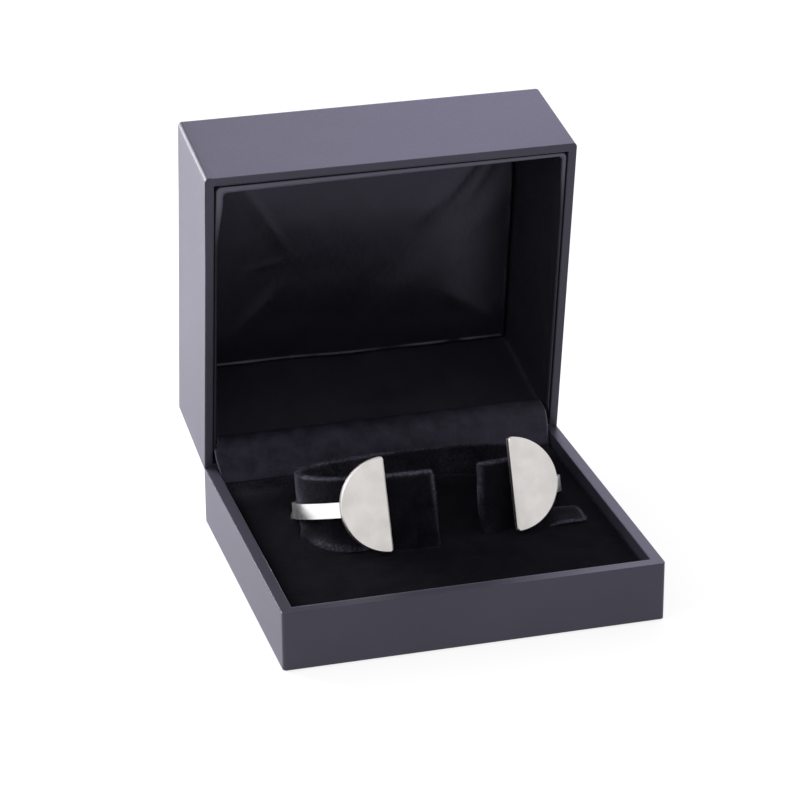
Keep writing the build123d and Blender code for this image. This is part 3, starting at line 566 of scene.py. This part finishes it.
def make_cover():
    """Ribbon from under the pad's nap over the lining's edge and a little way up it.

    Its way is a quadratic curve drawn part of the way back to two straight runs; the cloth is uneven, its ends
    are lifted where they meet the side walls, and its cut edges turn down as a quarter circle.
    """
    path = np.array(COVER_PATH)
    selvedge = np.array([0, 0.08, 0.16, 0.24, 0.36])
    span = np.concatenate([selvedge - COVER_HALF, np.linspace(CUT_EDGE - COVER_HALF, COVER_HALF - CUT_EDGE, 195),
                           COVER_HALF - selvedge[::-1]])
    x, t = np.meshgrid(span, np.linspace(0, 2, 41), indexing="ij")
    first, second = np.clip(t, 0, 1)[..., None], np.clip(t - 1, 0, 1)[..., None]
    straight = path[0] + first * (path[1] - path[0]) + second * (path[2] - path[1])
    pull = 2 * path[1] - (path[0] + path[2]) / 2
    k = (t / 2)[..., None]
    line = 0.3 * straight + 0.7 * ((1 - k) ** 2 * path[0] + 2 * k * (1 - k) * pull + k ** 2 * path[2])
    edge = np.clip((COVER_HALF - np.abs(x)) / CUT_EDGE, 0, 1)
    flare = np.where(x < 0, 1.0, 0.25) * smooth(t / 0.8) * (1 - smooth((t - 1.0) / 0.5)) - 0.4 * smooth(t - 1)
    wide = x * (1 + flare / COVER_HALF)
    uneven = 0.10 * ripple(x, t * 6, 5, 22.0) * smooth(t * 3)
    end_lift = 0.40 * smooth((np.abs(x) - COVER_HALF + 2.5) / 2.5) * smooth(t / 0.6)
    lift = 0.05 + end_lift + uneven - 0.12 * (1 - quarter_round(edge, 1))
    tucked = smooth((t - 1.75) / 0.25)
    lift = lift * (1 - tucked) - 0.12 * tucked
    run_a, run_b = path[1] - path[0], path[2] - path[1]
    across = smooth(t / 2)[..., None]
    normal_a = np.array([-run_a[1], run_a[0]]) / np.hypot(*run_a)
    normal_b = np.array([-run_b[1], run_b[0]]) / np.hypot(*run_b)
    place = line + (normal_a + across * (normal_b - normal_a)) * lift[..., None]
    place[..., 0] -= 0.9 * (1 - smooth(t / 0.4)) ** 2
    lengths = (np.hypot(*run_a), np.hypot(*run_b))
    cloth = np.stack([x, first[..., 0] * lengths[0] + second[..., 0] * lengths[1]], -1)
    points = np.stack([wide, place[..., 0], place[..., 1]], -1)
    # Painted light: the ribbon is drawn paler toward the right, and a painted highlight runs along its cut edges.
    painted_light = 0.10 * smooth((x + 5) / 45) + 0.9 * (1 - smooth(edge / 0.8)) * smooth((t - 0.1) / 0.2)
    made = piece("hinge_cover_ribbon", points, quads(*x.shape), HINGE_SATIN, cloth, painted_light)
    wall = made.modifiers.new("cloth", "SOLIDIFY")
    wall.thickness, wall.offset = COVER_CLOTH * MM, -1.0
    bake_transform(made)
    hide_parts("hinge_cover")
    return made


# ---- velvet pad ----
PAD_CROWN, PAD_EDGE_DROP, PAD_ROLL, SLIT_DEPTH = 0.22, 0.24, 1.1, 1.7


def in_frame(x, y, z, turn, at):
    """Points as a leaning frame sees them: less its origin, then along each of its three axes."""
    local = np.stack([x - at[0], y - at[1], z - at[2]], -1) @ turn
    return local[..., 0], local[..., 1], local[..., 2]


def pad_surface(x, y):
    """Height of the velvet: a slight crown, a slit where the collar goes in and a dent under the cuff's back."""
    crown = PAD_CROWN * (1 - (x / PAD_HALF) ** 4) * (1 - (np.abs(y) / PAD_BACK) ** 4)
    z = PAD_TOP - PAD_EDGE_DROP + crown + 0.03 * ripple(x, y, 21, 30.0)
    cx, cy, _ = in_frame(x, y, np.full_like(x, PAD_TOP), COLLAR_TURN, COLLAR_AT)
    wall = oval_distance(cx, cy, COLLAR_SIZE) + COLLAR_THICKNESS / 2 - foot_spread(cx, cy)
    across = np.abs(wall)
    open_front = (cy < 0) & (cx > FLAP_LEFT - 0.3) & (cx < FLAP_RIGHT_FOOT + 0.3)
    strapped = (y > STRAP_FRONT - 0.5) & (y < STRAP_FRONT + STRAP_WIDTH + 0.5)
    pull = 0.10 * np.exp(-(np.maximum(across - 0.8, 0) / 1.1) ** 2)
    slit = SLIT_DEPTH * (1 - smooth((across - 0.30) / 0.45))
    z = z - np.where(open_front | strapped, 0.0, pull + slit)
    bx, by, bz = in_frame(x, y, z, CUFF_TURN, CUFF_AT)
    beside = oval_distance(bx, by, CUFF_SIZE) - BAND_THICKNESS / 2
    over = np.maximum(bz + BAND_HEIGHT / 2 + 0.3, 0) * (by > 0)
    return z - over * (1 - smooth((np.abs(beside) - BAND_THICKNESS / 2 - 0.2) / 1.1))


def make_pad():
    """The surface over a grid whose outer rings roll over a quarter turn and run down the foam's sides."""
    def way(half, cells):
        """Places across the pad and the drop at each: flat, then a quarter circle, then straight down."""
        inner = np.linspace(-1, 1, cells) * (half - PAD_ROLL)
        turn = np.linspace(0, np.pi / 2, 7)[1:]
        out = np.concatenate([half - PAD_ROLL + PAD_ROLL * np.sin(turn), [half, half]])
        drop = np.concatenate([PAD_ROLL - PAD_ROLL * np.cos(turn), [2.5, PAD_TOP - PAD_SKIRT_Z]])
        return (np.concatenate([-out[::-1], inner, out]),
                np.concatenate([drop[::-1], np.zeros(cells), drop]))
    (u, drop_u), (v, drop_v) = way(PAD_HALF, 231), way((PAD_BACK - PAD_FRONT) / 2, 205)
    x, y = np.meshgrid(u, v + (PAD_FRONT + PAD_BACK) / 2, indexing="ij")
    drop = np.minimum(drop_u[:, None] + drop_v[None, :], PAD_TOP - PAD_SKIRT_Z)
    z = pad_surface(x, y) - drop
    # Painted sheen, faint, growing toward the back of the pad under the hinge cover.
    sheen_share = 0.07 * smooth((y - 19) / 14)
    made = piece("pad_velvet_sheet", np.stack([x, y, z], -1), quads(*x.shape), VELVET, np.stack([x, y], -1), sheen_share)
    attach(made, "base")
    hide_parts("pad_velvet")
    return made


# ---- pile standing open along the edges ----
TUFT_HALF_WIDTH, TUFT_SHORTEST, TUFT_LONGEST, TUFT_SPLAY = 0.035, 0.12, 0.34, 0.35


def make_tufts(name, points, painted_light, count, seed):
    """Slim triangles that stand on the cloth where its painted light is strongest, along the surface's normal,
    splayed by chance, each painted pale as sheen.
    """
    chance = np.random.default_rng(seed)
    normal = np.cross(np.roll(points, -1, 1) - np.roll(points, 1, 1), np.gradient(points, axis=0))
    normal = normal / np.maximum(np.linalg.norm(normal, axis=-1, keepdims=True), 1e-9)
    spread = np.linalg.norm(np.gradient(points, axis=0), axis=-1)
    weight = np.maximum(painted_light - 0.22, 0).ravel() * spread.ravel()
    chosen = chance.choice(weight.size, count, p=weight / weight.sum())
    slide = chance.uniform(-0.5, 0.5, (count, 2))
    ways = [np.gradient(points, axis=k).reshape(-1, 3)[chosen] for k in (0, 1)]
    foot = points.reshape(-1, 3)[chosen] + ways[0] * slide[:, :1] + ways[1] * slide[:, 1:]
    tip = normal.reshape(-1, 3)[chosen] + chance.normal(0, TUFT_SPLAY, (count, 3))
    side = np.cross(tip, chance.normal(0, 1, (count, 3)))
    side = side / np.linalg.norm(side, axis=-1, keepdims=True) * TUFT_HALF_WIDTH
    long = chance.uniform(TUFT_SHORTEST, TUFT_LONGEST, (count, 1))
    corners = np.stack([foot - side, foot + side, foot + tip * long], 1)
    made = piece(name, corners, np.arange(count * 3).reshape(-1, 3), VELVET, painted_light=np.full(count * 3, 0.42))
    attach(made, "base")
    return made


# ---- velvet collar ----
COLLAR_LEVELS, COLLAR_EDGE_LEVELS = 33, 9
FLAP_CORNER, COLLAR_BURIED = 1.1, 1.35


def collar_angles(right_x, left_x, count):
    """Normal directions from the left flap's end round the back to the right flap's, even along the wall, and the
    way travelled from the one end and to the other."""
    end_x, side_y, radius = side_arc(*COLLAR_SIZE)
    angle = np.linspace(1.5 * np.pi - 1e-3, -0.5 * np.pi + 1e-3, 4001)
    ends = np.abs(np.cos(angle)) * side_y > np.abs(np.sin(angle)) * end_x
    step = np.where(ends, COLLAR_END_RADIUS, radius)
    travel = np.concatenate([[0], np.cumsum((step[1:] + step[:-1]) / 2 * -np.diff(angle))])
    first = 2 * np.pi - np.arccos(left_x / radius)
    last = -np.arccos(right_x / radius)
    start = np.interp(-first, -angle, travel)
    stop = np.interp(-last, -angle, travel)
    share = np.linspace(0, 1, count)[:, None]
    place = start + (stop - start) * share
    return np.interp(place, travel, angle), place - start, stop - place


def make_collar():
    """Leaning oval wall: up its outer face, over a half-round top edge and down the inner face.

    Both ends round off in plan and at their top corner; the right end's foot sweeps away, and the foot stands
    level in the pad's slit. Painted sheen pales the pile along the top edge, at the ends, in a patch at the front
    left foot and on the left end wall, with a faint painted sheen over the rest, more on the left and inside.
    """
    half = COLLAR_THICKNESS / 2
    deep = np.linspace(1, 0, COLLAR_LEVELS)
    turn = np.linspace(0, np.pi, COLLAR_EDGE_LEVELS + 2)[1:-1]
    inset = np.concatenate([0 * deep, half - half * np.cos(turn), 0 * deep + 2 * half])
    share = np.concatenate([deep, 0 * turn, deep[::-1]])
    over = np.concatenate([0 * deep + half, half - half * np.sin(turn), 0 * deep + half])
    waist = smooth(share * 2) * (FLAP_RIGHT_WAIST - FLAP_RIGHT)
    right_x = FLAP_RIGHT + waist + (FLAP_RIGHT_FOOT - FLAP_RIGHT_WAIST) * np.clip(2 * share - 1, 0, 1) ** 2.2
    angle, from_left, to_right = collar_angles(right_x, np.full_like(right_x, FLAP_LEFT), 361)
    end = np.minimum(from_left, to_right)
    corner = FLAP_CORNER - FLAP_CORNER * quarter_round(end, FLAP_CORNER)
    x, y = oval_points(angle, half + (inset - half) * quarter_round(end, half), COLLAR_SIZE)
    top = np.stack([x, y, y * math.tan(math.radians(RIM_TILT))], -1) @ COLLAR_TURN.T + COLLAR_AT
    sag = 0.10 * ripple(from_left, share * 6, 8, 24.0)
    length = (top[..., 2] - (PAD_TOP - COLLAR_BURIED)) / math.cos(math.radians(COLLAR_LEAN))
    drop = np.minimum(over + corner + share * (length - half), length)
    bow = sag * smooth(share * 3) * (1 - smooth(share * 3 - 2)) + foot_spread(x, y) * smooth((share - 0.77) / 0.11)
    push = np.stack([np.cos(angle), np.sin(angle), np.zeros_like(angle)], -1) @ COLLAR_TURN.T
    points = top + COLLAR_TURN[:, 2] * -drop[..., None] + push * bow[..., None]
    # Painted sheen: strong along the top edge, weaker at the back right, and at the flap ends; a patch at the front
    # left foot, a band on the left end wall, and a faint wash over the rest, more on the left and on the inner face.
    rim = 1.25 * np.exp(-(drop / 0.50) ** 2) * (1 - 0.75 * smooth((x + 16) / 22) * (y > 0))
    ends = 0.85 * np.exp(-(end / np.where(x > 3, 1.15, 0.75)) ** 2) * (1 - 0.8 * smooth(share * 1.5 - 0.2))
    painted_light = np.maximum(rim, ends * np.where(x > 3, 0.5, 1.0))
    at_foot = (1 - smooth((length - drop - 1.5) / 1.6)) * (1 - smooth((np.abs(x + 23.5) - 3.5) / 2)) * (y < 0)
    painted_light = np.maximum(painted_light, 0.50 * at_foot)
    left_end_sheen = np.exp(-((angle - 3.02) / 0.22) ** 2) * (inset < half)
    inside = (0.03 + 0.045 * smooth((-x - 2) / 10)) * (inset > half)
    plain = 0.015 + 0.015 * smooth((-x - 14) / 10) + 0.20 * left_end_sheen + inside
    painted_light = np.maximum(0.60 * painted_light, plain)
    made = piece("collar_velvet_wrap", points, quads(*x.shape, close_columns=True), VELVET,
                 np.stack([from_left, drop + inset], -1), painted_light)
    make_tufts("collar_pile_tufts", points, painted_light, 15000, 17)
    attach(made, "base")
    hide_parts("collar_velvet")
    return made


def make_strap():
    """Velvet strap: flattened oval sections along its length, drawn in to a point at each rounded end.

    Between the collar's walls it is pressed into the pad; its left end widens round the collar.
    """
    share = np.sin(np.linspace(-1, 1, 141) * np.pi / 2)
    x = (STRAP_LEFT + STRAP_RIGHT) / 2 + share * (STRAP_RIGHT - STRAP_LEFT) / 2
    from_end = np.minimum(x - STRAP_LEFT, STRAP_RIGHT - x)
    full = quarter_round(from_end, 1.6)
    wide = STRAP_WIDTH + (STRAP_END - STRAP_WIDTH) * (1 - smooth((x - STRAP_LEFT - 1.2) / 2.6))
    raised = np.maximum(0.35 * smooth((-x - 22) / 4), smooth((x - 25) / 5))
    turn = np.linspace(0, 2 * np.pi, 37)[:-1]
    side, rise = (np.sign(f(turn)) * np.abs(f(turn)) ** 0.5 for f in (np.cos, np.sin))
    half = (wide / 2 * (0.25 + 0.75 * full))[:, None]
    y = STRAP_FRONT + wide[:, None] / 2 + half * side
    thick = (STRAP_THICKNESS * raised * full)[:, None]
    fuzz = 1 + 0.10 * ripple(x[:, None] + 0 * y, y, 31, 7.0)
    z = PAD_TOP - 0.35 * (1 - raised[:, None]) - 0.15 + thick * (0.5 + 0.5 * rise) * fuzz
    points = np.stack([x[:, None] + 0 * y, y, z], -1)
    # Painted sheen along the strap's raised upper edges and ends, on its right part; the left part gets only a trace.
    edges = np.maximum(smooth((np.abs(side) - 0.75) / 0.2), 1 - smooth((from_end[:, None] - 0.6) / 0.8))
    shown = 0.05 + 0.95 * (x > 0)
    painted_light = 0.01 + (0.05 * raised[:, None] + 0.34 * (raised[:, None] * edges)) * (rise > -0.3) * shown[:, None]
    made = piece("collar_strap_velvet", points, quads(*y.shape, close_columns=True), VELVET,
                 np.stack([x[:, None] + 0 * y, y + z], -1), painted_light)
    make_tufts("strap_pile_tufts", points, painted_light, 1500, 18)
    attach(made, "base")
    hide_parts("collar_strap")
    return made


# ---- leatherette lap on the lid's front wall ----
def make_lap():
    """Cut edge of the side covering, turned round the lid's front corner: a thin shell over the wrap's own curve.

    Its section runs along the side, where the skin eases up to its thickness, round a quarter circle and a short
    way across the front.
    """
    radius, lap, skin, taper, full_from = EDGE_RADIUS, 1.35, 0.13, 26, 2
    turn = np.linspace(0, np.pi / 2, 9)
    side = np.concatenate([np.linspace(taper, full_from, 14), np.linspace(full_from, 0.3, 4)[1:]])
    front = np.linspace(radius, lap, 6)[1:]
    base_x = np.concatenate([0 * side, radius - radius * np.cos(turn), front])
    base_y = np.concatenate([radius + side, radius - radius * np.sin(turn), 0 * front])
    normal_x = np.concatenate([0 * side - 1, -np.cos(turn), 0 * front])
    normal_y = np.concatenate([0 * side, -np.sin(turn), 0 * front - 1])
    proud = skin * np.concatenate([smooth((taper - side) / (taper - full_from)), np.ones(len(turn) + len(front))])
    outer = np.stack([base_x + normal_x * proud, base_y + normal_y * proud], -1)
    inner = np.stack([base_x, base_y], -1) + 0.03 * np.stack([-normal_x, -normal_y], -1)
    ring = np.concatenate([outer, inner[::-1]])
    z = np.linspace(LID_BOTTOM + 0.15, BOX_TOP - EDGE_RADIUS, 40)
    points = np.stack(np.broadcast_arrays(-BOX_WIDTH / 2 + ring[:, 0], -BOX_DEPTH / 2 + ring[:, 1], z[:, None]), -1)
    made = piece("lid_wrap_lap", opened(points), quads(*points.shape[:2], close_columns=True), LAP_LEATHERETTE)
    made.data.shade_flat()
    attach(made, "lid")
    return made


# ---- hinge springs ----
SPRING_X = (28.35, 30.65)
SPRING_TURNS, SPRING_RADIUS, SPRING_WIRE, SPRING_LEG = 6, 0.76, 0.19, 5.0


def make_wire(name, way, node, body, mirrored):
    """Round wire: a circle in the plane across each step of its way, drawn in to a point at both ends, for one
    half of the spring that the node stands for."""
    along = np.gradient(way, axis=0)
    along = along / np.linalg.norm(along, axis=1, keepdims=True)
    side = np.array([1.0, 0, 0]) - along[:, :1] * along
    side = side / np.linalg.norm(side, axis=1, keepdims=True)
    over = np.cross(along, side)
    turn = np.linspace(0, 2 * np.pi, 13)[:-1]
    ring = side[:, None] * np.cos(turn)[:, None] + over[:, None] * np.sin(turn)[:, None]
    points = way[:, None] + SPRING_WIRE * ring
    points = np.concatenate([0 * points[:1] + way[0], points, 0 * points[-1:] + way[-1]])
    if mirrored:
        points = points * (-1, 1, 1)
    made = piece(name, points, quads(*points.shape[:2], close_columns=True, flip=not mirrored), SPRING_STEEL)
    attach(made, body)
    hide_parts(node)


def make_springs():
    """Torsion spring at each end of the pin: a close helix whose first half and leg stay with the base, and whose
    second half and leg turn with the lid."""
    total = 2 * np.pi * SPRING_TURNS + math.radians(OPEN_ANGLE)
    middle = total - np.pi * SPRING_TURNS
    step = np.linspace(0, 1, 181)[:, None]
    reach = np.linspace(1, 0, 9)[:-1, None] * SPRING_LEG

    def coil(phase):
        """A circle about the pin that steps along it evenly with the angle."""
        x = SPRING_X[0] + (SPRING_X[1] - SPRING_X[0]) * phase / total
        return np.concatenate([x, HINGE_Y - SPRING_RADIUS * np.cos(phase),
                               HINGE_Z + SPRING_RADIUS * np.sin(phase)], 1)
    first, second = coil(step * middle), coil(middle + step * (total - middle))
    low = first[0] - reach * np.array([0, 0, 1])
    high = second[-1] + reach[::-1] * np.array([0, math.sin(total), math.cos(total)])
    for hand, mirrored in (("left", True), ("right", False)):
        node = "hinge_spring_" + hand
        make_wire(node + "_base_half", np.concatenate([low, first]), node, "base", mirrored)
        make_wire(node + "_lid_half", np.concatenate([second, high]), node, "lid", mirrored)


make_panel()
make_lining()
make_cover()
make_pad()
make_collar()
make_strap()
make_lap()
make_springs()


# ---- floor, light and camera ----
CAMERA_AZIMUTH, CAMERA_ELEVATION, CAMERA_ROLL = (math.radians(v) for v in (-15.53754, 23.78051, -0.31488))
CAMERA_TARGET, CAMERA_DISTANCE = (-0.00651393, 0.0, 0.0446044), 0.72904486
CAMERA_LENS, CAMERA_SENSOR = 141.8356, 36.0
FLOOR_REACH = 3.0


def seen_directly(tree):
    """1 where the camera, a mirror or glass sees the surface, and 0 where it only lights the object: the greatest
    of the three rays' flags."""
    path = add(tree, "ShaderNodeLightPath").outputs
    seen = path["Is Camera Ray"]
    for ray in ("Is Glossy Ray", "Is Transmission Ray"):
        seen = add(tree, "ShaderNodeMath", {0: seen, 1: path[ray]}, operation="MAXIMUM").outputs["Value"]
    return seen


def make_floor():
    """White studio sweep: seen and mirrored as white, with the object's soft shadow left on it."""
    mesh = bpy.data.meshes.new("studio_floor")
    mesh.from_pydata([(x * FLOOR_REACH, y * FLOOR_REACH, 0) for x, y in ((-1, -1), (1, -1), (1, 1), (-1, 1))], [],
                     [(0, 1, 2, 3)])
    floor = bpy.data.objects.new("studio_floor", mesh)
    bpy.context.scene.collection.objects.link(floor)
    material, tree = new_material("studio_white")
    matt = add(tree, "ShaderNodeBsdfDiffuse", {"Color": linear("#e6e6e6")})
    faint = add(tree, "ShaderNodeBsdfDiffuse", {"Color": linear("#8c8c8c")})
    glow = add(tree, "ShaderNodeEmission", {"Color": (1, 1, 1, 1), "Strength": 0.80})
    lit = add(tree, "ShaderNodeAddShader", {0: faint.outputs["BSDF"], 1: glow.outputs["Emission"]})
    mix = add(tree, "ShaderNodeMixShader", {0: seen_directly(tree), 1: matt.outputs["BSDF"],
                                            2: lit.outputs["Shader"]})
    add(tree, "ShaderNodeOutputMaterial", {"Surface": mix.outputs["Shader"]})
    mesh.materials.append(material)


def make_world():
    """Even white studio surround; white where the camera or a mirror sees it."""
    world = bpy.data.worlds.new("studio_surround")
    bpy.context.scene.world = world
    world.use_nodes = True
    tree = world.node_tree
    tree.nodes.clear()
    strength = add(tree, "ShaderNodeMapRange", {"Value": seen_directly(tree), "To Min": 0.75, "To Max": 1.0})
    back = add(tree, "ShaderNodeBackground", {"Color": (1, 1, 1, 1), "Strength": strength.outputs["Result"]})
    add(tree, "ShaderNodeOutputWorld", {"Surface": back.outputs["Background"]})


def stand(name, data, back, at, roll=0.0):
    """Links an object at a place, its back to a direction, its up as near the world's as it can be, then rolled."""
    right = np.cross((0, 0, 1), back)
    right = right / np.linalg.norm(right)
    up = np.cross(back, right)
    axes = np.stack([math.cos(roll) * right + math.sin(roll) * up,
                     math.cos(roll) * up - math.sin(roll) * right, back], -1)
    made = bpy.data.objects.new(name, data)
    bpy.context.scene.collection.objects.link(made)
    made.matrix_world = Matrix([[*row, p] for row, p in zip(axes, at)] + [[0, 0, 0, 1]])
    return made


def make_lamp(name, place, target, size, watts, colour="#ffffff"):
    """Square soft box at place, facing target; lengths in metres."""
    lamp = bpy.data.lights.new(name, "AREA")
    lamp.shape, lamp.size, lamp.energy = "SQUARE", size, watts
    lamp.color = linear(colour)[:3]
    back = np.subtract(place, target)
    stand(name, lamp, back / np.linalg.norm(back), place)


def make_camera():
    """Camera at the azimuth, height, roll and distance of the front view, from spherical angles about its target."""
    back = np.array([math.sin(CAMERA_AZIMUTH) * math.cos(CAMERA_ELEVATION),
                     -math.cos(CAMERA_AZIMUTH) * math.cos(CAMERA_ELEVATION), math.sin(CAMERA_ELEVATION)])
    camera = bpy.data.cameras.new("product_camera")
    camera.lens, camera.sensor_width = CAMERA_LENS, CAMERA_SENSOR
    camera.clip_start, camera.clip_end = 0.01, 20.0
    at = np.array(CAMERA_TARGET) + back * CAMERA_DISTANCE
    bpy.context.scene.camera = stand("product_camera", camera, back, at, CAMERA_ROLL)


make_floor()
make_world()
make_lamp("left_soft_box", (-0.75, -0.25, 0.55), (0, 0, 0.04), 0.5, 1.0)
make_lamp("back_soft_box", (0.34, 0.72, 0.68), (0, 0, 0.06), 0.5, 1.9, "#dcd4ff")
make_lamp("right_soft_box", (0.75, -0.35, 0.40), (0, 0, 0.04), 0.5, 0.6)
make_lamp("back_left_floor_box", (-0.18, 0.17, 0.11), (-0.06, 0.07, 0), 0.16, 0.84)
make_lamp("front_soft_box", (-0.30, -0.80, 0.50), (0, 0, 0.03), 0.4, 0.30)
make_camera()
bpy.context.scene.view_settings.view_transform = "Standard"

# ---- bring the scene up to date ----
bpy.context.view_layer.update()
